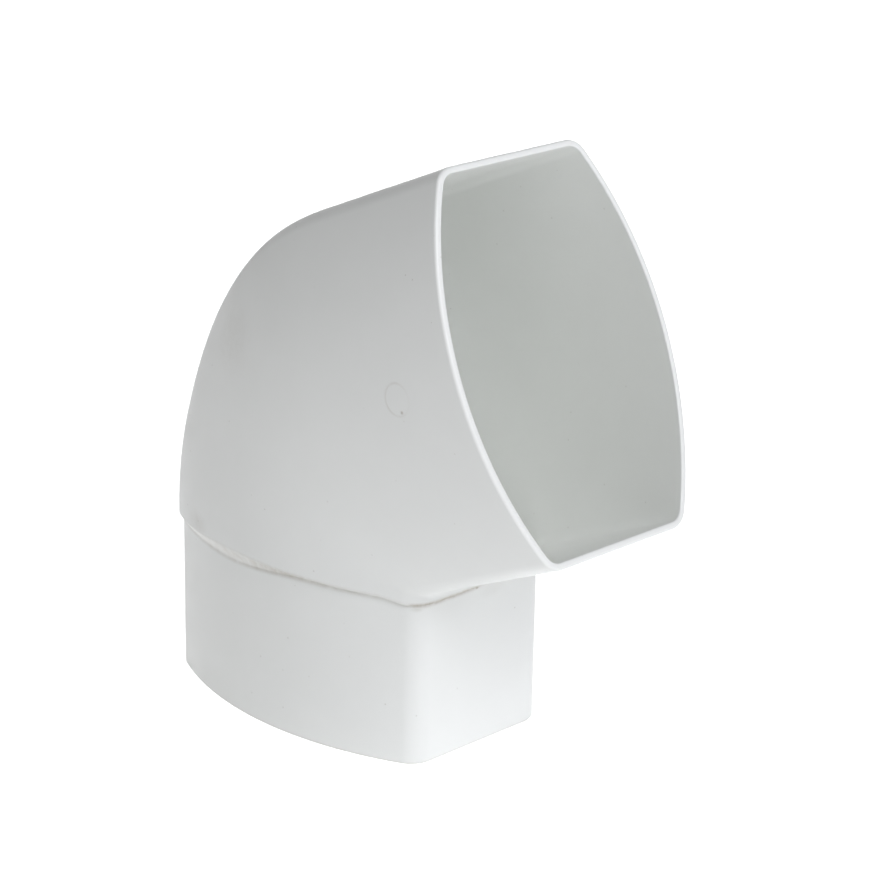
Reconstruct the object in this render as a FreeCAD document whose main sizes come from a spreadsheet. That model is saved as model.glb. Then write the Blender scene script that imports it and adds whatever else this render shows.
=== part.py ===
# Downspout elbow: a one-piece white PVC bend for an ovoid rainwater pipe, spigot below and socket above.
# Millimetres. The origin is the centre of the spigot's lower end.
# +Z runs up the spigot and +X points to the mouth's side.
import FreeCAD
import Part
import Sketcher
import math
import os

Vector = FreeCAD.Vector

# Driving sizes, in millimetres and degrees.
SIZES = [
    ("spigot_long", 105.0, "outside of the spigot along its flat-to-flat axis"),
    ("spigot_wide", 76.0, "outside of the spigot across the crowns of its bowed sides"),
    ("side_radius", 109.0, "radius of the spigot's two bowed long sides"),
    ("spigot_corner", 8.0, "radius where a bowed side meets a flat end of the spigot"),
    ("spigot_drop", 50.5, "length of the spigot below the shoulder"),
    ("wall", 2.1, "wall of the moulding"),
    ("shoulder_step", 1.4, "how far the shoulder stands out from the spigot"),
    ("neck_rise", 1.2, "straight rise from the shoulder to the start of the bend"),
    ("bend_angle", 66.0, "turn between the spigot's axis and the socket's axis"),
    ("throat_radius", 3.0, "outside radius of the throat, on the short side of the bend"),
    ("socket_clear", 1.4, "gap all round between the socket's bore and a spigot of this size"),
    ("socket_depth", 54.0, "straight depth of the socket"),
    ("socket_corner", 7.0, "outside corner radius of the socket"),
    ("rim_round", 0.9, "rounding of the rim's outer edge"),
    ("mouth_bevel", 0.5, "bevel of the rim's inner edge, which leads the pipe in"),
    ("shoulder_round", 0.6, "rounding of the shoulder's lower edge"),
    ("spigot_round", 0.6, "rounding of the spigot's lower outer edge"),
]

doc = FreeCAD.newDocument("downspout_elbow")

sheet = doc.addObject("Spreadsheet::Sheet", "Sizes")
for row, (alias, value, note) in enumerate(SIZES, start=1):
    sheet.set("A%d" % row, alias)
    sheet.set("B%d" % row, str(value))
    sheet.set("C%d" % row, note)
    sheet.setAlias("B%d" % row, alias)
doc.recompute()
size = {alias: float(sheet.get(alias)) for alias, value, note in SIZES}

body = doc.addObject("PartDesign::Body", "elbow")
body.Label = "elbow"
body.Placement = FreeCAD.Placement()
planes = {f.Role: f for f in body.Origin.OriginFeatures}


def number(text):
    """Value of a sheet formula, for a sketch's first guess; the formula itself stays bound."""
    value = body.evalExpression(text)
    return float(getattr(value, "Value", value))


# Stand-outs of the sections from the spigot's outside, and their corner radii.
NECK = "Sizes.shoulder_step"
SOCKET = "(Sizes.socket_clear + Sizes.wall)"
NECK_CORNER = "(Sizes.spigot_corner + Sizes.shoulder_step)"
SOCKET_CORNER = "Sizes.socket_corner"

# The bend turns about an axis along Y that lies just outside the throat.
TURN_X = "(Sizes.spigot_long / 2 + %s + Sizes.throat_radius)" % NECK
TURN_Z = "(Sizes.spigot_drop + Sizes.neck_rise)"

# Stations round the bend, as shares of the turn, and the shares between which the section swells.
STATIONS = 10
SWELL_START = 0.25
SWELL_END = 0.9


def swell_at(turn):
    """Share of the swell from the neck's section to the socket's, eased at both ends."""
    share = min(max((turn - SWELL_START) / (SWELL_END - SWELL_START), 0.0), 1.0)
    return share * share * (3.0 - 2.0 * share)


def blend(start, finish, share):
    """Sheet formula part of the way from one formula to another."""
    return "(%s + (%s - %s) * %s)" % (start, finish, start, share)


def station(turn):
    """Place of a section's centre on the bend: x, z and the tilt, as sheet formulas."""
    tilt = "(Sizes.bend_angle * %s)" % turn
    stand_out = blend(NECK, SOCKET, swell_at(turn))
    reach = "(Sizes.throat_radius + Sizes.spigot_long / 2 + %s)" % stand_out
    return (
        "%s - %s * cos(%s)" % (TURN_X, reach, tilt),
        "%s + %s * sin(%s)" % (TURN_Z, reach, tilt),
        tilt,
    )


def bind(sk, label, formula, *what):
    """Adds a measured constraint to a sketch and ties it to a sheet formula."""
    sk.renameConstraint(sk.addConstraint(Sketcher.Constraint(*what, number(formula))), label)
    sk.setExpression("Constraints." + label, formula)


def ovoid(name, place, stand_out, corner):
    """Sketch of the ovoid: two bowed sides, two flat ends and four rounded corners.

    place gives x, z and tilt; stand_out is the offset from the spigot's outside; corner is the corner radius.
    """
    x, z, tilt = place
    sk = body.newObject("Sketcher::SketchObject", name)
    sk.AttachmentSupport = [(planes["XY_Plane"], "")]
    sk.MapMode = "FlatFace"
    turn = FreeCAD.Rotation(Vector(0, 1, 0), number(tilt))
    sk.AttachmentOffset = FreeCAD.Placement(Vector(number(x), 0, number(z)), turn)
    sk.setExpression("AttachmentOffset.Base.x", x)
    sk.setExpression("AttachmentOffset.Base.z", z)
    if number(tilt):
        sk.setExpression("AttachmentOffset.Rotation.Angle", tilt)

    end = "Sizes.spigot_long / 2 + " + stand_out
    bow = "Sizes.side_radius + " + stand_out
    sink = "Sizes.side_radius - Sizes.spigot_wide / 2"
    e, b, c, r = number(end), number(bow), number(sink), number(corner)
    u = e - r
    v = math.sqrt((b - r) ** 2 - u ** 2) - c
    lean = math.atan2(v + c, u)

    def arc(cx, cy, radius, a0, a1):
        circle = Part.Circle(Vector(cx, cy, 0), Vector(0, 0, 1), radius)
        return sk.addGeometry(Part.ArcOfCircle(circle, a0, a1), False)

    pi = math.pi
    arc(0, -c, b, lean, pi - lean)
    arc(-u, v, r, pi - lean, pi)
    sk.addGeometry(Part.LineSegment(Vector(-e, v, 0), Vector(-e, -v, 0)), False)
    arc(-u, -v, r, pi, pi + lean)
    arc(0, c, b, pi + lean, 2 * pi - lean)
    arc(u, -v, r, 2 * pi - lean, 2 * pi)
    sk.addGeometry(Part.LineSegment(Vector(e, -v, 0), Vector(e, v, 0)), False)
    arc(u, v, r, 0, lean)

    add = sk.addConstraint
    for i in range(8):
        add(Sketcher.Constraint("Tangent", i, 2, (i + 1) % 8, 1))
    add(Sketcher.Constraint("Vertical", 2))
    add(Sketcher.Constraint("Vertical", 6))
    add(Sketcher.Constraint("PointOnObject", 0, 3, -2))
    add(Sketcher.Constraint("PointOnObject", 4, 3, -2))
    add(Sketcher.Constraint("Equal", 0, 4))
    for i in (3, 5, 7):
        add(Sketcher.Constraint("Equal", 1, i))

    bind(sk, "bow", bow, "Radius", 0)
    bind(sk, "corner", corner, "Radius", 1)
    bind(sk, "sink_top", sink, "DistanceY", 0, 3, -1, 1)
    bind(sk, "sink_low", sink, "DistanceY", -1, 1, 4, 3)
    bind(sk, "end_right", end, "DistanceX", -1, 1, 6, 1)
    bind(sk, "end_left", end, "DistanceX", 2, 1, -1, 1)
    return sk


def feature(kind, name, **settings):
    """Adds a feature to the body, sets it and checks that it came out."""
    made = body.newObject("PartDesign::" + kind, name)
    for key, value in settings.items():
        setattr(made, key, value)
    doc.recompute()
    bad = {"Invalid", "Error"} & set(made.State)
    if bad or made.Shape.isNull() or not made.Shape.isValid():
        raise RuntimeError("%s did not build: %s" % (name, made.State))
    return made


def cut(kind, name, **settings):
    """Adds a feature that removes material, and checks that it does."""
    before = body.Shape.Volume
    made = feature(kind, name, **settings)
    if not made.Shape.Volume < before - 1.0:
        raise RuntimeError("%s removed nothing" % name)
    return made


def sections(name, inset):
    """The ovoids at the stations of the bend, drawn in from the outside by an inset."""
    made = []
    for i in range(STATIONS + 1):
        turn = i / STATIONS
        stand_out = "%s - %s" % (blend(NECK, SOCKET, swell_at(turn)), inset)
        corner = "%s - %s" % (blend(NECK_CORNER, SOCKET_CORNER, swell_at(turn)), inset)
        made.append(ovoid("%s_%d" % (name, i), station(turn), stand_out, corner))
    return made


# Outside: spigot, neck, bend and socket.
ground = ("0", "0", "0")
shoulder = ("0", "Sizes.spigot_drop", "0")
spigot_profile = ovoid("spigot_profile", ground, "0", "Sizes.spigot_corner")
spigot = feature("Pad", "spigot", Profile=spigot_profile, Length=size["spigot_drop"])
spigot.setExpression("Length", "Sizes.spigot_drop")

neck_profile = ovoid("neck_profile", shoulder, NECK, NECK_CORNER)
neck = feature("Pad", "neck", Profile=neck_profile, Length=size["neck_rise"])
neck.setExpression("Length", "Sizes.neck_rise")

path = body.newObject("Sketcher::SketchObject", "bend_path")
path.AttachmentSupport = [(planes["XZ_Plane"], "")]
path.MapMode = "FlatFace"
turn_x, turn_z = number(TURN_X), number(TURN_Z)
span = math.radians(size["bend_angle"])
circle = Part.Circle(Vector(turn_x, turn_z, 0), Vector(0, 0, 1), turn_x)
path.addGeometry(Part.ArcOfCircle(circle, math.pi - span, math.pi), False)
path.addConstraint(Sketcher.Constraint("Horizontal", 0, 2, 0, 3))
bind(path, "turn_x", TURN_X, "DistanceX", -1, 1, 0, 3)
bind(path, "turn_z", TURN_Z, "DistanceY", -1, 1, 0, 3)
bind(path, "radius", TURN_X, "Radius", 0)
path.renameConstraint(path.addConstraint(Sketcher.Constraint("Angle", 0, span)), "span")
path.setExpression("Constraints.span", "Sizes.bend_angle * 1 deg")

# The bend keeps the neck's section at first and swells to the socket's before it ends.
bend_sections = sections("bend_section", "0")
bend = feature(
    "AdditivePipe",
    "bend",
    Profile=bend_sections[0],
    Sections=[(s, [""]) for s in bend_sections[1:]],
    Spine=(path, ["Edge1"]),
    Mode="Frenet",
    Transformation="Multisection",
)

socket = feature("Pad", "socket", Profile=bend_sections[-1], Length=size["socket_depth"])
socket.setExpression("Length", "Sizes.socket_depth")

# Inside: the spigot's bore, a taper over the neck, and the bend's and socket's bores.
bore_corner = "Sizes.spigot_corner - Sizes.wall"
spigot_bore_profile = ovoid("spigot_bore_profile", shoulder, "0 - Sizes.wall", bore_corner)
spigot_bore = cut("Pocket", "spigot_bore", Profile=spigot_bore_profile, Type="ThroughAll")
bore_sections = sections("bore_section", "Sizes.wall")
neck_bore = cut(
    "SubtractiveLoft",
    "neck_bore",
    Profile=spigot_bore_profile,
    Sections=[(bore_sections[0], [""])],
    Ruled=True,
)
bend_bore = cut(
    "SubtractivePipe",
    "bend_bore",
    Profile=bore_sections[0],
    Sections=[(s, [""]) for s in bore_sections[1:]],
    Spine=(path, ["Edge1"]),
    Mode="Frenet",
    Transformation="Multisection",
)
socket_bore = cut("Pocket", "socket_bore", Profile=bore_sections[-1], Type="ThroughAll", Reversed=True)


def edge_loop(base, normal, level, inner):
    """Names of the outer or inner edges of the flat face with this outward normal at this level along it."""
    names = []
    for face in base.Shape.Faces:
        if not isinstance(face.Surface, Part.Plane):
            continue
        u0, u1, v0, v1 = face.ParameterRange
        if face.normalAt((u0 + u1) / 2, (v0 + v1) / 2).dot(normal) < 0.999:
            continue
        if abs(face.CenterOfMass.dot(normal) - level) > 0.01:
            continue
        for wire in face.Wires:
            if wire.isSame(face.OuterWire) == inner:
                continue
            for edge in wire.Edges:
                names += ["Edge%d" % (i + 1) for i, e in enumerate(base.Shape.Edges) if e.isSame(edge)]
    if len(names) != 8:
        raise RuntimeError("a loop of %d edges was found, not of 8" % len(names))
    return names


def rounded(name, base, normal, level, formula):
    """Rounds the outer loop of a flat face."""
    edges = edge_loop(base, normal, level, False)
    made = cut("Fillet", name, Base=(base, edges), Radius=number(formula))
    made.setExpression("Radius", formula)
    return made


# Rounded edges: rim, shoulder and the spigot's end, and the bevel inside the rim.
# A rounding or bevel takes at most these shares of the wall or the step that it is on.
WALL_SHARE = 0.45
BEVEL_SHARE = 0.3
STEP_SHARE = 0.8
rim_radius = "min(Sizes.rim_round; Sizes.wall * %s)" % WALL_SHARE
bevel_size = "min(Sizes.mouth_bevel; Sizes.wall * %s)" % BEVEL_SHARE
ledge_radius = "min(Sizes.shoulder_round; Sizes.shoulder_step * %s)" % STEP_SHARE
lead_radius = "min(Sizes.spigot_round; Sizes.wall * %s)" % WALL_SHARE
out = Vector(math.sin(span), 0, math.cos(span))
mouth_x, mouth_z, tilt = station(1.0)
mouth = Vector(number(mouth_x), 0, number(mouth_z)) + out * size["socket_depth"]
down = Vector(0, 0, -1)
rim = rounded("rim", socket_bore, out, mouth.dot(out), rim_radius)
lip = edge_loop(rim, out, mouth.dot(out), True)
bevel = cut("Chamfer", "bevel", Base=(rim, lip), Size=number(bevel_size))
bevel.setExpression("Size", bevel_size)
ledge = rounded("ledge", bevel, down, -size["spigot_drop"], ledge_radius)
lead = rounded("lead", ledge, down, 0.0, lead_radius)

doc.recompute()
for obj in doc.Objects:
    if {"Invalid", "Error"} & set(obj.State):
        raise RuntimeError("%s is in a failed state: %s" % (obj.Label, obj.State))
shape = body.Shape
if shape.isNull() or not shape.isValid() or len(shape.Solids) != 1:
    raise RuntimeError("the elbow is not one valid solid")

os.makedirs("parts", exist_ok=True)
shape.exportStep(os.path.join("parts", body.Label + ".step"))
box = shape.BoundBox
print("elbow: volume %.0f mm3" % shape.Volume)
print("x %.1f to %.1f, z %.1f to %.1f, mouth centre %s" % (box.XMin, box.XMax, box.ZMin, box.ZMax, mouth))
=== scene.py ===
"""Studio scene of a white moulded PVC downspout elbow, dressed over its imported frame.

Sizes are in millimetres in the elbow's own frame: the origin is the centre of the spigot's lower end,
+Z runs up the spigot and +X points to the side that the socket's mouth faces.
"""
import logging
import math
from dataclasses import dataclass, field, replace
from enum import Enum
from typing import Any, Optional

import bpy
from mathutils import Matrix, Vector


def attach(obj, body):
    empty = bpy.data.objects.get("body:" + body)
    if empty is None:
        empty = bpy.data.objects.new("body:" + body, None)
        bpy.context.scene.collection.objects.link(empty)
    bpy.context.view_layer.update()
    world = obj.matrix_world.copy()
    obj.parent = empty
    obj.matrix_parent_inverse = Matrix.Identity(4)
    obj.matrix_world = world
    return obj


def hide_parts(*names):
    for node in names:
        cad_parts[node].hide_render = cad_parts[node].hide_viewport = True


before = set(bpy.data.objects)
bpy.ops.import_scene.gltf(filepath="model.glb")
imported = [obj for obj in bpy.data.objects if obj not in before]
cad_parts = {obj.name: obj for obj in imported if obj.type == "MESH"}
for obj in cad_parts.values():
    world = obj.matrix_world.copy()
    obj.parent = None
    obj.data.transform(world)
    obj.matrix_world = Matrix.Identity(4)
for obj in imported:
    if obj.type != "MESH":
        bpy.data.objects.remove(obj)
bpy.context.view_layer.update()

LOG = logging.getLogger("elbow")
MM = 0.001


class Skin(Enum):
    """Which face of the moulding a strip of the mesh lies on; the value is its material slot."""

    OUTSIDE = 0
    INSIDE = 1


def linear(hex_colour: str) -> tuple[float, float, float, float]:
    """Turns an sRGB hex colour to linear RGBA.

    Args:
        hex_colour: A colour such as "#EEF0EE".

    Returns:
        Linear red, green and blue, and an alpha of 1.
    """
    channels = [int(hex_colour[i : i + 2], 16) / 255.0 for i in (1, 3, 5)]
    red, green, blue = [c / 12.92 if c <= 0.04045 else ((c + 0.055) / 1.055) ** 2.4 for c in channels]
    return red, green, blue, 1.0


def ease(value: float, start: float, finish: float) -> float:
    """Share of the way from start to finish, eased at both ends and held outside them."""
    share = min(max((value - start) / (finish - start), 0.0), 1.0)
    return share * share * (3.0 - 2.0 * share)


def bearing(azimuth: float, elevation: float) -> Vector:
    """Unit vector towards an azimuth, from -Y round to +X, and an elevation, both in degrees.

    Args:
        azimuth: Angle round the upright axis.
        elevation: Angle over the floor.

    Returns:
        The direction.
    """
    turn, rise = math.radians(azimuth), math.radians(elevation)
    return Vector((math.sin(turn) * math.cos(rise), -math.cos(turn) * math.cos(rise), math.sin(rise)))


def node(
    tree: bpy.types.NodeTree,
    kind: str,
    settings: Optional[dict[str, Any]] = None,
    inputs: Optional[dict[Any, Any]] = None,
) -> bpy.types.Node:
    """Adds a node with its settings and links.

    Args:
        tree: The node tree it goes into.
        kind: Blender's name of the node type.
        settings: Properties of the node.
        inputs: Socket name or index to a value, or to an output socket to link.

    Returns:
        The new node.
    """
    made = tree.nodes.new(kind)
    for key, value in (settings or {}).items():
        setattr(made, key, value)
    for key, value in (inputs or {}).items():
        if isinstance(value, bpy.types.NodeSocket):
            tree.links.new(value, made.inputs[key])
        else:
            made.inputs[key].default_value = value
    return made


@dataclass(frozen=True)
class StainAndShade:
    """A soft mark, used both for rubbed-on dirt and for painted shade: its centre, its half-sizes and its
    strength.
    """

    at: tuple[float, float, float]
    reach: tuple[float, float, float]
    strength: float

    def mask(self, tree: bpy.types.NodeTree, place: bpy.types.NodeSocket) -> bpy.types.NodeSocket:
        """Adds the mark's strength, which fades from its centre to its half-sizes.

        Args:
            tree: The material's node tree.
            place: The surface point in metres.

        Returns:
            The socket with the strength.
        """
        off = node(
            tree,
            "ShaderNodeVectorMath",
            {"operation": "SUBTRACT"},
            {0: place, 1: [value * MM for value in self.at]},
        )
        share = node(
            tree,
            "ShaderNodeVectorMath",
            {"operation": "DIVIDE"},
            {0: off.outputs["Vector"], 1: [value * MM for value in self.reach]},
        )
        far = node(tree, "ShaderNodeVectorMath", {"operation": "LENGTH"}, {0: share.outputs["Vector"]})
        return node(
            tree,
            "ShaderNodeMapRange",
            {"interpolation_type": "SMOOTHSTEP"},
            {"Value": far.outputs["Value"], "To Min": self.strength, "To Max": 0.0},
        ).outputs["Result"]


@dataclass(frozen=True)
class GrimeAndShade:
    """Grime and painted shade under the shoulder, where the skin carries them as an attribute, and their
    strength.
    """

    attribute: str
    strength: float

    def mask(self, tree: bpy.types.NodeTree, place: bpy.types.NodeSocket) -> bpy.types.NodeSocket:
        """Adds the strength of the grime and painted shade, as the skin's points hold it.

        Args:
            tree: The material's node tree.
            place: The surface point in metres, which is not used.

        Returns:
            The socket with the strength.
        """
        held = node(tree, "ShaderNodeAttribute", {"attribute_name": self.attribute})
        return node(
            tree,
            "ShaderNodeMath",
            {"operation": "MULTIPLY"},
            {0: held.outputs["Fac"], 1: self.strength},
        ).outputs[0]


@dataclass(frozen=True)
class RingTint:
    """Brown tint along a round witness mark, stronger on the side away from the socket's mouth."""

    at: tuple[float, float, float]
    radius: float
    width: float
    strength: float
    lean_start: float = -0.4
    faint: float = 0.15

    def mask(self, tree: bpy.types.NodeTree, place: bpy.types.NodeSocket) -> bpy.types.NodeSocket:
        """Adds the tint's strength along the ring.

        Args:
            tree: The material's node tree.
            place: The surface point in metres.

        Returns:
            The socket with the strength.
        """
        off = node(
            tree,
            "ShaderNodeVectorMath",
            {"operation": "SUBTRACT"},
            {0: place, 1: [value * MM for value in self.at]},
        ).outputs["Vector"]
        far = node(tree, "ShaderNodeVectorMath", {"operation": "LENGTH"}, {0: off}).outputs["Value"]
        miss = node(tree, "ShaderNodeMath", {"operation": "SUBTRACT"}, {0: far, 1: self.radius * MM})
        wide = node(tree, "ShaderNodeMath", {"operation": "ABSOLUTE"}, {0: miss.outputs[0]})
        ring = node(
            tree,
            "ShaderNodeMapRange",
            {"interpolation_type": "SMOOTHSTEP"},
            {"Value": wide.outputs[0], "From Max": self.width * MM, "To Min": self.strength, "To Max": 0.0},
        )
        side = node(tree, "ShaderNodeSeparateXYZ", inputs={"Vector": off}).outputs["X"]
        lean = node(
            tree,
            "ShaderNodeMapRange",
            inputs={
                "Value": side,
                "From Min": self.lean_start * self.radius * MM,
                "From Max": self.radius * MM,
                "To Min": 1.0,
                "To Max": self.faint,
            },
        )
        return node(
            tree,
            "ShaderNodeMath",
            {"operation": "MULTIPLY"},
            {0: ring.outputs["Result"], 1: lean.outputs["Result"]},
        ).outputs[0]


@dataclass(frozen=True)
class MouldedPvc:
    """Rigid white PVC, injection moulded in a polished tool and handled since; its marks hold dirt and
    painted shade.
    """

    name: str
    white: str = "#F1F3F1"
    cloud: str = "#ECEEEC"
    cloud_size: float = 26.0
    soil_and_shade: str = "#83714F"
    soil_and_shade_size: float = 3.2
    soil_and_shade_span: tuple[float, float] = (0.5, 1.25)
    soil_and_shade_dulling: float = 0.4
    speck: str = "#86806F"
    speck_spacing: float = 6.5
    speck_radius: float = 0.34
    speck_core: float = 0.4
    speck_strength: float = 0.26
    roughness: float = 0.35
    roughness_spread: float = 0.07
    scuff_size: float = 9.0
    ior: float = 1.53
    ripple_size: float = 2.6
    ripple_height: float = 0.02
    ripple_strength: float = 0.3
    noise_span: tuple[float, float] = (0.3, 0.7)
    marks: tuple[Any, ...] = ()

    def specks(self, tree: bpy.types.NodeTree, place: bpy.types.NodeSocket) -> bpy.types.NodeSocket:
        """Adds sparse dark specks, each a small ball that the surface cuts.

        Args:
            tree: The material's node tree.
            place: The surface point in metres.

        Returns:
            The socket with the specks' strength.
        """
        cells = node(
            tree,
            "ShaderNodeTexVoronoi",
            {"feature": "F1", "voronoi_dimensions": "3D"},
            {"Vector": place, "Scale": 1.0 / (self.speck_spacing * MM)},
        )
        edge = self.speck_radius / self.speck_spacing
        return node(
            tree,
            "ShaderNodeMapRange",
            inputs={
                "Value": cells.outputs["Distance"],
                "From Min": self.speck_core * edge,
                "From Max": edge,
                "To Min": self.speck_strength,
                "To Max": 0.0,
            },
        ).outputs["Result"]

    def soil_and_shade_mask(self, tree: bpy.types.NodeTree, place: bpy.types.NodeSocket) -> bpy.types.NodeSocket:
        """Adds all the marks together, broken up by a fine noise.

        Args:
            tree: The material's node tree.
            place: The surface point in metres.

        Returns:
            The socket with the strength of the dirt and painted shade.
        """
        patchy = node(
            tree,
            "ShaderNodeTexNoise",
            inputs={"Vector": place, "Scale": 1.0 / (self.soil_and_shade_size * MM), "Detail": 4.0, "Roughness": 0.65},
        )
        broken = node(
            tree,
            "ShaderNodeMapRange",
            inputs={
                "Value": patchy.outputs["Fac"],
                "From Min": self.noise_span[0],
                "From Max": self.noise_span[1],
                "To Min": self.soil_and_shade_span[0],
                "To Max": self.soil_and_shade_span[1],
            },
        ).outputs["Result"]
        total = self.marks[0].mask(tree, place)
        for mark in self.marks[1:]:
            total = node(
                tree,
                "ShaderNodeMath",
                {"operation": "MAXIMUM"},
                {0: total, 1: mark.mask(tree, place)},
            ).outputs[0]
        return node(
            tree,
            "ShaderNodeMath",
            {"operation": "MULTIPLY", "use_clamp": True},
            {0: total, 1: broken},
        ).outputs[0]

    def material(self) -> bpy.types.Material:
        """Builds the material.

        Returns:
            The finished material.
        """
        # White PVC is dense with pigment, so it is opaque, and a little green where light bounces inside.
        # The polished tool leaves a satin skin, clouded by flow, with a ripple of about 0.02 mm.
        made = bpy.data.materials.new(self.name)
        made.use_nodes = True
        tree = made.node_tree
        tree.nodes.clear()
        place = node(tree, "ShaderNodeTexCoord").outputs["Object"]
        cloud = node(
            tree,
            "ShaderNodeTexNoise",
            inputs={
                "Vector": place,
                "Scale": 1.0 / (self.cloud_size * MM),
                "Detail": 3.0,
                "Roughness": 0.55,
            },
        )
        colour = node(
            tree,
            "ShaderNodeMix",
            {"data_type": "RGBA"},
            {0: cloud.outputs["Fac"], 6: linear(self.white), 7: linear(self.cloud)},
        ).outputs[2]
        # Real specks are under 0.1 mm; they are drawn a few times coarser, as the photograph blurs them.
        colour = node(
            tree,
            "ShaderNodeMix",
            {"data_type": "RGBA"},
            {0: self.specks(tree, place), 6: colour, 7: linear(self.speck)},
        ).outputs[2]
        scuff = node(
            tree,
            "ShaderNodeTexNoise",
            inputs={"Vector": place, "Scale": 1.0 / (self.scuff_size * MM), "Detail": 4.0, "Roughness": 0.6},
        )
        gloss = node(
            tree,
            "ShaderNodeMapRange",
            inputs={
                "Value": scuff.outputs["Fac"],
                "From Min": self.noise_span[0],
                "From Max": self.noise_span[1],
                "To Min": self.roughness - self.roughness_spread,
                "To Max": self.roughness + self.roughness_spread,
            },
        ).outputs["Result"]
        # The marks mix the soil colour in as dirt, and as painted shade under the shoulder and in the
        # throat's notch.
        if self.marks:
            soil_and_shade_share = self.soil_and_shade_mask(tree, place)
            colour = node(
                tree,
                "ShaderNodeMix",
                {"data_type": "RGBA"},
                {0: soil_and_shade_share, 6: colour, 7: linear(self.soil_and_shade)},
            ).outputs[2]
            gloss = node(
                tree,
                "ShaderNodeMath",
                {"operation": "MULTIPLY_ADD", "use_clamp": True},
                {0: soil_and_shade_share, 1: self.soil_and_shade_dulling, 2: gloss},
            ).outputs[0]
        ripple = node(
            tree,
            "ShaderNodeTexNoise",
            inputs={"Vector": place, "Scale": 1.0 / (self.ripple_size * MM), "Detail": 2.0},
        )
        bump = node(
            tree,
            "ShaderNodeBump",
            inputs={
                "Strength": self.ripple_strength,
                "Distance": self.ripple_height * MM,
                "Height": ripple.outputs["Fac"],
            },
        )
        shader = node(
            tree,
            "ShaderNodeBsdfPrincipled",
            inputs={
                "Base Color": colour,
                "Roughness": gloss,
                "IOR": self.ior,
                "Normal": bump.outputs["Normal"],
            },
        )
        node(tree, "ShaderNodeOutputMaterial", inputs={"Surface": shader.outputs["BSDF"]})
        return made


GRIME_AND_SHADE = "grime_and_shade"
OUTSIDE_PVC = MouldedPvc(
    "moulded_white_pvc",
    marks=(
        # Grime with painted shade in the crease under the shoulder's lip.
        GrimeAndShade(GRIME_AND_SHADE, strength=0.43),
        # A thin darker band round the spigot's foot.
        StainAndShade(at=(0.0, 0.0, 0.0), reach=(400.0, 400.0, 1.2), strength=0.25),
        # A smudge of dirt on the bend, and one over the shoulder that is dirt and also painted shade on the
        # shoulder's slope.
        StainAndShade(at=(-17.5, -33.4, 114.5), reach=(15.0, 14.0, 17.0), strength=0.085),
        StainAndShade(at=(-33.0, -34.0, 53.0), reach=(10.0, 6.0, 5.0), strength=0.13),
        # Dirt and painted shade in the notch under the throat.
        StainAndShade(at=(52.5, 4.5, 47.5), reach=(2.0, 8.0, 3.5), strength=0.05),
        StainAndShade(at=(51.0, -24.3, 48.6), reach=(3.0, 3.0, 1.4), strength=0.16),
        StainAndShade(at=(52.5, -1.8, 49.4), reach=(1.5, 1.2, 0.7), strength=0.8),
        # A dark fleck and the tint in the ring on the socket.
        StainAndShade(at=(61.6, -41.4, 114.0), reach=(0.8, 1.0, 0.8), strength=0.45),
        RingTint(at=(59.7, -41.48, 117.2), radius=4.6, width=0.6, strength=0.14),
    ),
)
# The bore takes a lighter copy of the same PVC, as painted light that brightens the inside of the socket.
BORE_PVC_LIGHTENED = MouldedPvc("moulded_white_pvc_bore_lightened", white="#F6F8F5", cloud="#F2F4F1", speck_strength=0.2)


@dataclass(frozen=True)
class Loop:
    """One closed ovoid of the mesh: its centre and tilt, its stand-out from the spigot and its corners.

    On the socket's outside it knows its distance along the axis, and on the ledge its share of the climb.
    Both are negative elsewhere.
    """

    x: float
    z: float
    tilt: float
    stand_out: float
    corner: float
    skin: Skin
    along: float = -1.0
    grime_and_shade: float = 0.0
    climb: float = -1.0


@dataclass(frozen=True)
class GateMark:
    """Ring left by the mould on the crown of the socket's near side: a shallow groove round a disc."""

    along: float = 29.2
    radius: float = 4.6
    width: float = 0.55
    depth: float = 0.02
    zone: float = 5.6
    pitch: float = 0.25

    def sink(self, along: float, across: float) -> float:
        """Depth of the groove at a place on the socket, measured from the mark's centre."""
        off = abs(math.hypot(along - self.along, across) - self.radius) / self.width
        return self.depth * max(0.0, 1.0 - off * off) if off < 1.0 else 0.0


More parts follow.
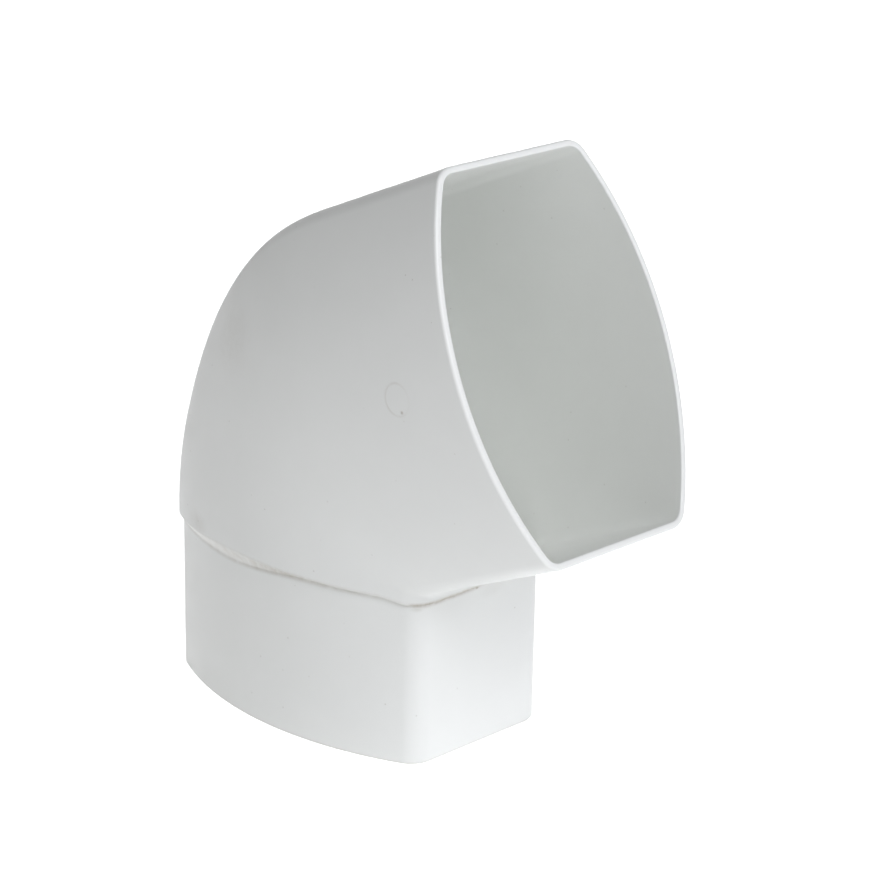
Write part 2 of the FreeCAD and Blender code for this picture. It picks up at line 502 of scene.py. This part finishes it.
@dataclass(frozen=True)
class ShoulderLine:
    """How the moulded shoulder's edge leaves its level, and where grime and painted shade lie along it.

    The lip hangs a little at the flat ends and arches over the bowed sides. On the long side of the bend the
    ledge under it runs out into a slope, so the corner with the spigot lies lower still there.
    """

    back_lip: float = -1.3
    side_lip: float = 0.9
    mouth_lip: float = -0.5
    back_corner: float = -2.9
    lip_run: tuple[float, float] = (-46.0, -10.0)
    slope_run: tuple[float, float] = (-20.0, 24.0)
    dip_run: tuple[float, float] = (42.0, 50.0)
    soft_run: tuple[float, float] = (-22.0, 20.0)
    fade: float = 9.0
    back_grime_and_shade: float = 0.36
    bend_grime_and_shade: float = 0.16
    bend_run: tuple[float, float] = (-34.0, -20.0)
    crown_grime_and_shade: float = 0.36
    crown_start: tuple[float, float] = (-12.0, 10.0)
    crown_finish: tuple[float, float] = (24.0, 44.0)
    end_grime_and_shade: float = 1.55
    end_run: tuple[float, float] = (-4.0, 2.0)
    corner_run: tuple[float, float] = (49.0, 52.0)

    def lift(self, x: float, above: float, lip: bool) -> float:
        """How far a point near the shoulder moves up.

        Args:
            x: Its place along the section.
            above: Its height over the shoulder's level.
            lip: Whether it belongs to the lip and the wall over it, and not to the spigot.

        Returns:
            The lift, which fades out up and down the walls.
        """
        start = self.back_lip if lip else self.back_corner
        level = start + (self.side_lip - start) * ease(x, *(self.lip_run if lip else self.slope_run))
        level += (self.mouth_lip - self.side_lip) * ease(x, *self.dip_run)
        return level * max(0.0, 1.0 - abs(above) / self.fade)

    def softness(self, x: float) -> float:
        """Share by which the ledge has become a slope at a place along the section."""
        return 1.0 - ease(x, *self.soft_run)

    def grime_and_shade(self, x: float, y: float) -> float:
        """Share of the grime and painted shade along the edge: most on the bowed side and at the mouth's
        near corner.

        Args:
            x: Place along the section.
            y: Place across it.

        Returns:
            The share.
        """
        side = self.back_grime_and_shade + self.bend_grime_and_shade * ease(x, *self.bend_run)
        side += self.crown_grime_and_shade * (ease(x, *self.crown_start) - ease(x, *self.crown_finish))
        end = self.end_grime_and_shade * (1.0 - ease(y, *self.end_run))
        return side + (end - side) * ease(x, *self.corner_run)


@dataclass
class Elbow:
    """The elbow's skin, rebuilt finely over its CAD solid from the same sizes."""

    spigot_long: float = 105.0
    spigot_wide: float = 76.0
    side_radius: float = 109.0
    spigot_corner: float = 8.0
    spigot_drop: float = 50.5
    wall: float = 2.1
    shoulder_step: float = 1.4
    neck_rise: float = 1.2
    bend_angle: float = 66.0
    throat_radius: float = 3.0
    socket_clear: float = 1.4
    socket_depth: float = 54.0
    socket_corner: float = 7.0
    rim_round: float = 0.9
    shoulder_round: float = 0.6
    spigot_round: float = 0.6
    mouth_round: float = 0.5
    inner_round: float = 0.2
    grime_and_shade_drop: float = 1.8
    grime_and_shade_step: float = 0.3
    lip_spared: float = 0.6
    swell_start: float = 0.25
    swell_end: float = 0.9
    gate: GateMark = field(default_factory=GateMark)
    line: ShoulderLine = field(default_factory=ShoulderLine)
    bend_steps: int = 44
    side_steps: int = 36
    corner_steps: int = 10
    end_steps: int = 10
    round_steps: int = 5
    wall_step: float = 4.0

    @property
    def socket_out(self) -> float:
        """Stand-out of the socket's outside from the spigot's."""
        return self.socket_clear + self.wall

    def swell(self, turn: float) -> float:
        """Share of the swell from the neck's section to the socket's at a share of the turn."""
        return ease(turn, self.swell_start, self.swell_end)

    def spread(self, start: float, finish: float, step: float) -> list[float]:
        """Even values from start to finish, about a step apart, with both ends."""
        count = max(1, round(abs(finish - start) / step))
        return [start + (finish - start) * i / count for i in range(count + 1)]

    def straight(self, z: float, stand_out: float, skin: Skin, grime_and_shade: float = 0.0) -> Loop:
        """A level loop of the spigot or the neck, with its share of grime and painted shade."""
        return Loop(0.0, z, 0.0, stand_out, self.spigot_corner + stand_out, skin, grime_and_shade=grime_and_shade)

    def turned(self, turn: float, inset: float, skin: Skin) -> Loop:
        """A loop of the bend.

        Args:
            turn: Share of the turn at which it lies.
            inset: How far it is drawn in from the outside.
            skin: The face of the moulding that it belongs to.

        Returns:
            The loop.
        """
        swell = self.swell(turn)
        outer = self.shoulder_step + (self.socket_out - self.shoulder_step) * swell
        neck_corner = self.spigot_corner + self.shoulder_step
        corner = neck_corner + (self.socket_corner - neck_corner) * swell
        reach = self.throat_radius + self.spigot_long / 2 + outer
        tilt = math.radians(self.bend_angle * turn)
        turn_x = self.spigot_long / 2 + self.shoulder_step + self.throat_radius
        turn_z = self.spigot_drop + self.neck_rise
        x = turn_x - reach * math.cos(tilt)
        z = turn_z + reach * math.sin(tilt)
        return Loop(x, z, tilt, outer - inset, corner - inset, skin)

    def pushed(self, along: float, inset: float, skin: Skin) -> Loop:
        """A loop of the socket.

        Args:
            along: Distance along the socket's axis from the end of the bend.
            inset: How far it is drawn in from the outside.
            skin: The face of the moulding that it belongs to.

        Returns:
            The loop.
        """
        last = self.turned(1.0, inset, skin)
        x = last.x + along * math.sin(last.tilt)
        z = last.z + along * math.cos(last.tilt)
        marked = along if skin is Skin.OUTSIDE else -1.0
        return Loop(x, z, last.tilt, last.stand_out, last.corner, skin, marked)

    def arc(self, radius: float) -> list[tuple[float, float]]:
        """Quarter-round as pairs of falls: inwards from the wall, and back from the face."""
        angles = [math.pi / 2 * i / self.round_steps for i in range(self.round_steps + 1)]
        return [(radius * (1 - math.cos(a)), radius * (1 - math.sin(a))) for a in angles]

    def loops(self) -> list[Loop]:
        """Every loop in order: up the outside from the spigot's end, over the rim and down the inside.

        Returns:
            The loops, of which the last joins the first.
        """
        outside, inside = Skin.OUTSIDE, Skin.INSIDE
        made: list[Loop] = []
        for fall, back in self.arc(self.inner_round):
            made.append(self.straight(back, fall - self.wall, outside))
        for fall, back in reversed(self.arc(self.spigot_round)):
            made.append(self.straight(back, -fall, outside))
        top = self.spigot_drop
        low = self.spigot_round + self.inner_round
        for z in self.spread(low, top - self.grime_and_shade_drop, self.wall_step):
            made.append(self.straight(z, 0.0, outside))
        # The loops under the shoulder carry grime and painted shade, which grow towards the crease under the
        # ledge.
        for z in self.spread(top - self.grime_and_shade_drop, top - self.inner_round, self.grime_and_shade_step)[1:-1]:
            share = ease(z, top - self.grime_and_shade_drop, top)
            made.append(self.straight(z, 0.0, outside, share))
        ledge = [self.straight(top - back, fall, outside, 1.0) for fall, back in self.arc(self.inner_round)]
        for fall, back in reversed(self.arc(self.shoulder_round)):
            share = 1.0 - self.lip_spared * (back / self.shoulder_round) ** 2
            ledge.append(self.straight(top + back, self.shoulder_step - fall, outside, share))
        made += [replace(loop, climb=i / (len(ledge) - 1)) for i, loop in enumerate(ledge)]
        steps = [i / self.bend_steps for i in range(self.bend_steps + 1)]
        made += [self.turned(turn, 0.0, outside) for turn in steps]
        gate = self.gate
        face = self.socket_depth - self.rim_round
        stops = self.spread(self.wall_step / 2, gate.along - gate.zone, self.wall_step)
        stops += self.spread(gate.along - gate.zone, gate.along + gate.zone, gate.pitch)[1:]
        stops += self.spread(gate.along + gate.zone, face - self.inner_round, self.wall_step)[1:]
        made += [self.pushed(along, 0.0, outside) for along in stops]
        for fall, back in self.arc(self.rim_round):
            made.append(self.pushed(self.socket_depth - back, fall, outside))
        for fall, back in reversed(self.arc(self.mouth_round)):
            made.append(self.pushed(self.socket_depth - back, self.wall - fall, outside))
        bore_face = self.socket_depth - self.mouth_round - self.inner_round
        for along in self.spread(bore_face, self.wall_step / 2, self.wall_step):
            made.append(self.pushed(along, self.wall, inside))
        made += [self.turned(turn, self.wall, inside) for turn in reversed(steps)]
        for z in self.spread(top, 2 * self.inner_round, self.wall_step):
            made.append(self.straight(z, -self.wall, inside))
        return made

    def side_shares(self, near: bool) -> list[float]:
        """Shares of a bowed side's arc at which it has points, closer together at the gate mark.

        Args:
            near: Whether it is the side with the mark.

        Returns:
            The shares in order.
        """
        even = [i / self.side_steps for i in range(self.side_steps + 1)]
        if not near:
            return even
        span = self.spigot_long - 2 * self.spigot_corner
        half = self.gate.zone / span
        fine = self.spread(0.5 - half, 0.5 + half, self.gate.pitch / span)
        return [s for s in even if s < 0.5 - half] + fine + [s for s in even if s > 0.5 + half]

    def outline(self, loop: Loop) -> list[Vector]:
        """Points of a loop in millimetres, starting at the far side's right-hand corner.

        Args:
            loop: The loop to lay out.

        Returns:
            The points in order round the ovoid.
        """
        end = self.spigot_long / 2 + loop.stand_out
        bow = self.side_radius + loop.stand_out
        sink = self.side_radius - self.spigot_wide / 2
        corner = loop.corner
        reach = end - corner
        rise = math.sqrt((bow - corner) ** 2 - reach**2) - sink
        lean = math.atan2(rise + sink, reach)
        points: list[tuple[float, float]] = []

        def sweep(
            cx: float,
            cy: float,
            radius: float,
            span: tuple[float, float],
            shares: list[float],
        ) -> None:
            """Adds the points of an arc but its last.

            Args:
                cx: Centre of the arc along the section.
                cy: Centre of the arc across it.
                radius: Radius of the arc.
                span: Its first and last angle.
                shares: Shares of the span at which it has points.
            """
            for share in shares[:-1]:
                angle = span[0] + (span[1] - span[0]) * share
                points.append((cx + radius * math.cos(angle), cy + radius * math.sin(angle)))

        turn = [i / self.corner_steps for i in range(self.corner_steps + 1)]
        flat = [i / self.end_steps for i in range(self.end_steps)]
        pi = math.pi
        sweep(0.0, -sink, bow, (lean, pi - lean), self.side_shares(False))
        sweep(-reach, rise, corner, (pi - lean, pi), turn)
        points += [(-end, rise - 2 * rise * share) for share in flat]
        sweep(-reach, -rise, corner, (pi, pi + lean), turn)
        near = self.side_shares(True)
        start = len(points)
        sweep(0.0, sink, bow, (pi + lean, 2 * pi - lean), near)
        if loop.along >= 0.0:
            for i in range(start, len(points)):
                u, v = points[i]
                points[i] = (u, v + self.gate.sink(loop.along, u))
        sweep(reach, -rise, corner, (2 * pi - lean, 2 * pi), turn)
        points += [(end, -rise + 2 * rise * share) for share in flat]
        sweep(reach, rise, corner, (0.0, lean), turn)
        cos, sin = math.cos(loop.tilt), math.sin(loop.tilt)
        return [Vector((loop.x + u * cos, v, loop.z - u * sin)) for u, v in points]

    def ring(self, loop: Loop) -> list[Vector]:
        """Points of a loop in millimetres, with the shoulder's edge where it was moulded.

        Args:
            loop: The loop to lay out.

        Returns:
            The points in order round the ovoid.
        """
        placed = self.outline(loop)
        if loop.skin is Skin.INSIDE:
            return placed
        lip = loop.stand_out > self.shoulder_step / 2
        for p in placed:
            p.z += self.line.lift(p.x, p.z - self.spigot_drop, lip)
        if loop.climb < 0.0:
            return placed
        sloped = self.outline(self.straight(0.0, self.shoulder_step * ease(loop.climb, 0.0, 1.0), loop.skin))
        for p in sloped:
            low = self.line.lift(p.x, 0.0, False)
            high = self.shoulder_round + self.line.lift(p.x, self.shoulder_round, True)
            p.z = self.spigot_drop + low + (high - low) * loop.climb
        return [p.lerp(q, self.line.softness(p.x)) for p, q in zip(placed, sloped)]

    def build(self, outside: bpy.types.Material, inside: bpy.types.Material) -> bpy.types.Object:
        """Builds the closed skin and gives it its two finishes.

        Args:
            outside: Finish of the outside, the rim and the spigot's end.
            inside: Finish of the bore.

        Returns:
            The new object, riding on the root in place of the CAD node.
        """
        loops = self.loops()
        rings = [self.ring(loop) for loop in loops]
        count = len(rings[0])
        faces = []
        slots = []
        for i, loop in enumerate(loops):
            after = (i + 1) % len(loops)
            for j in range(count):
                k = (j + 1) % count
                faces.append((i * count + j, i * count + k, after * count + k, after * count + j))
                slots.append(loop.skin.value)
        mesh = bpy.data.meshes.new("elbow_skin")
        mesh.from_pydata([p * MM for ring in rings for p in ring], [], faces)
        held = [
            loop.grime_and_shade * self.line.grime_and_shade(p.x, p.y)
            for loop, ring in zip(loops, rings)
            for p in ring
        ]
        mesh.attributes.new(GRIME_AND_SHADE, "FLOAT", "POINT").data.foreach_set("value", held)
        mesh.materials.append(outside)
        mesh.materials.append(inside)
        mesh.polygons.foreach_set("material_index", slots)
        mesh.polygons.foreach_set("use_smooth", [True] * len(faces))
        mesh.validate()
        mesh.update()
        made = bpy.data.objects.new("elbow_skin", mesh)
        bpy.context.scene.collection.objects.link(made)
        made.modifiers.new("even_shading", "WEIGHTED_NORMAL")
        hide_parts("elbow")
        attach(made, "root")
        return made


@dataclass(frozen=True)
class CameraView:
    """The photograph's view: angles in degrees, distance and offsets in millimetres from the shoulder."""

    azimuth: float = 45.32
    elevation: float = 19.63
    roll: float = 0.97
    distance: float = 883.2
    right: float = 23.35
    up: float = 29.14
    target_z: float = 50.5
    lens: float = 122.2
    sensor: float = 36.0
    clip: tuple[float, float] = (0.05, 50.0)

    def build(self) -> bpy.types.Object:
        """Adds the camera and makes it the scene's.

        Returns:
            The camera.
        """
        back = bearing(self.azimuth, self.elevation)
        azimuth = math.radians(self.azimuth)
        level = Vector((math.cos(azimuth), math.sin(azimuth), 0.0))
        over = back.cross(level)
        roll = math.radians(self.roll)
        right = level * math.cos(roll) + over * math.sin(roll)
        up = over * math.cos(roll) - level * math.sin(roll)
        eye = Vector((0.0, 0.0, self.target_z)) + right * self.right + up * self.up + back * self.distance
        data = bpy.data.cameras.new("camera")
        data.lens = self.lens
        data.sensor_fit = "HORIZONTAL"
        data.sensor_width = self.sensor
        data.clip_start, data.clip_end = self.clip
        made = bpy.data.objects.new("camera", data)
        made.matrix_world = Matrix.Translation(eye * MM) @ Matrix((right, up, back)).transposed().to_4x4()
        bpy.context.scene.collection.objects.link(made)
        bpy.context.scene.camera = made
        return made


@dataclass(frozen=True)
class SoftBox:
    """A square soft light: direction it stands in from the elbow, distance, side and strength."""

    name: str
    azimuth: float
    elevation: float
    distance: float
    side: float
    power: float
    tint: str = "#FFFFFF"

    def build(self, aim: Vector) -> bpy.types.Object:
        """Adds the light, turned towards the aim.

        Args:
            aim: The point that it faces, in metres.

        Returns:
            The light.
        """
        way = bearing(self.azimuth, self.elevation)
        data = bpy.data.lights.new(self.name, "AREA")
        data.shape = "SQUARE"
        data.size = self.side
        data.energy = self.power
        data.color = linear(self.tint)[:3]
        made = bpy.data.objects.new(self.name, data)
        made.location = aim + way * self.distance
        made.rotation_euler = way.to_track_quat("Z", "Y").to_euler()
        bpy.context.scene.collection.objects.link(made)
        return made


@dataclass
class Studio:
    """Pale floor, white surround and soft lights."""

    floor_side: float = 8.0
    floor_colour: str = "#F4F4F4"
    floor_glow: float = 0.36
    floor_lift: float = 0.62
    surround: float = 0.04
    gloss_surround: float = 0.8
    ceiling: float = 0.15
    ceiling_run: tuple[float, float] = (0.15, 0.6)
    white: str = "#FFFFFF"
    aim: tuple[float, float, float] = (20.0, 0.0, 80.0)
    lights: tuple[SoftBox, ...] = (
        SoftBox("key", azimuth=86.0, elevation=33.0, distance=1.3, side=0.8, power=7.6, tint="#F8F8FF"),
        SoftBox("front", azimuth=60.0, elevation=50.0, distance=1.3, side=0.8, power=5.6),
        SoftBox("left", azimuth=335.0, elevation=12.0, distance=1.3, side=0.8, power=1.2),
        SoftBox("rear", azimuth=218.0, elevation=14.0, distance=1.3, side=0.8, power=7.0),
    )

    def seen(self, tree: bpy.types.NodeTree) -> bpy.types.NodeSocket:
        """Adds a test for the rays that show the backdrop: those of the camera, a gloss or a clear body.

        Args:
            tree: The node tree it goes into.

        Returns:
            The socket, which is one for those rays and zero for the rest.
        """
        path = node(tree, "ShaderNodeLightPath")
        first = node(
            tree,
            "ShaderNodeMath",
            {"operation": "MAXIMUM"},
            {0: path.outputs["Is Camera Ray"], 1: path.outputs["Is Glossy Ray"]},
        )
        both = node(
            tree,
            "ShaderNodeMath",
            {"operation": "MAXIMUM"},
            {0: first.outputs[0], 1: path.outputs["Is Transmission Ray"]},
        )
        return both.outputs[0]

    def floor(self) -> bpy.types.Object:
        """Adds the pale floor of a light table, which shows white but keeps the elbow's faint shadow.

        Returns:
            The floor.
        """
        half = self.floor_side / 2
        mesh = bpy.data.meshes.new("floor")
        corners = [(-half, -half, 0), (half, -half, 0), (half, half, 0), (-half, half, 0)]
        mesh.from_pydata(corners, [], [(0, 1, 2, 3)])
        material = bpy.data.materials.new("matt_white_sweep")
        material.use_nodes = True
        tree = material.node_tree
        tree.nodes.clear()
        paper = node(tree, "ShaderNodeBsdfDiffuse", inputs={"Color": linear(self.floor_colour)})
        lift = node(
            tree,
            "ShaderNodeMath",
            {"operation": "MULTIPLY_ADD"},
            {0: self.seen(tree), 1: self.floor_lift, 2: self.floor_glow},
        )
        glow = node(tree, "ShaderNodeEmission", inputs={"Strength": lift.outputs[0]})
        both = node(tree, "ShaderNodeAddShader", inputs={0: paper.outputs[0], 1: glow.outputs[0]})
        node(tree, "ShaderNodeOutputMaterial", inputs={"Surface": both.outputs[0]})
        mesh.materials.append(material)
        made = bpy.data.objects.new("floor", mesh)
        bpy.context.scene.collection.objects.link(made)
        return made

    def world(self) -> None:
        """Sets a soft surround, white at the horizon and dimmer overhead, that the camera sees as white."""
        made = bpy.data.worlds.new("surround")
        made.use_nodes = True
        tree = made.node_tree
        tree.nodes.clear()
        way = node(tree, "ShaderNodeTexCoord").outputs["Generated"]
        height = node(tree, "ShaderNodeSeparateXYZ", inputs={"Vector": way}).outputs["Z"]
        overhead = node(
            tree,
            "ShaderNodeMapRange",
            inputs={
                "Value": height,
                "From Min": self.ceiling_run[0],
                "From Max": self.ceiling_run[1],
                "To Min": 1.0,
                "To Max": self.ceiling,
            },
        )
        level = node(
            tree,
            "ShaderNodeMapRange",
            inputs={"Value": self.seen(tree), "To Min": self.surround, "To Max": self.gloss_surround},
        )
        both = node(
            tree,
            "ShaderNodeMath",
            {"operation": "MULTIPLY"},
            {0: level.outputs["Result"], 1: overhead.outputs["Result"]},
        )
        shown = node(
            tree,
            "ShaderNodeMath",
            {"operation": "MAXIMUM"},
            {0: both.outputs[0], 1: node(tree, "ShaderNodeLightPath").outputs["Is Camera Ray"]},
        )
        sky = node(
            tree,
            "ShaderNodeBackground",
            inputs={"Color": linear(self.white), "Strength": shown.outputs[0]},
        )
        node(tree, "ShaderNodeOutputWorld", inputs={"Surface": sky.outputs[0]})
        bpy.context.scene.world = made

    def build(self) -> None:
        """Adds the floor, the surround and the lights."""
        self.floor()
        self.world()
        for light in self.lights:
            light.build(Vector(self.aim) * MM)
            LOG.info("light %s", light.name)
        bpy.context.scene.view_settings.view_transform = "Standard"


def main() -> None:
    """Builds the elbow, the studio and the camera."""
    logging.basicConfig(level=logging.INFO, format="%(name)s: %(message)s")
    skin = Elbow().build(OUTSIDE_PVC.material(), BORE_PVC_LIGHTENED.material())
    LOG.info("%s has %d faces", skin.name, len(skin.data.polygons))
    Studio().build()
    CameraView().build()


if __name__ == "__main__":
    main()
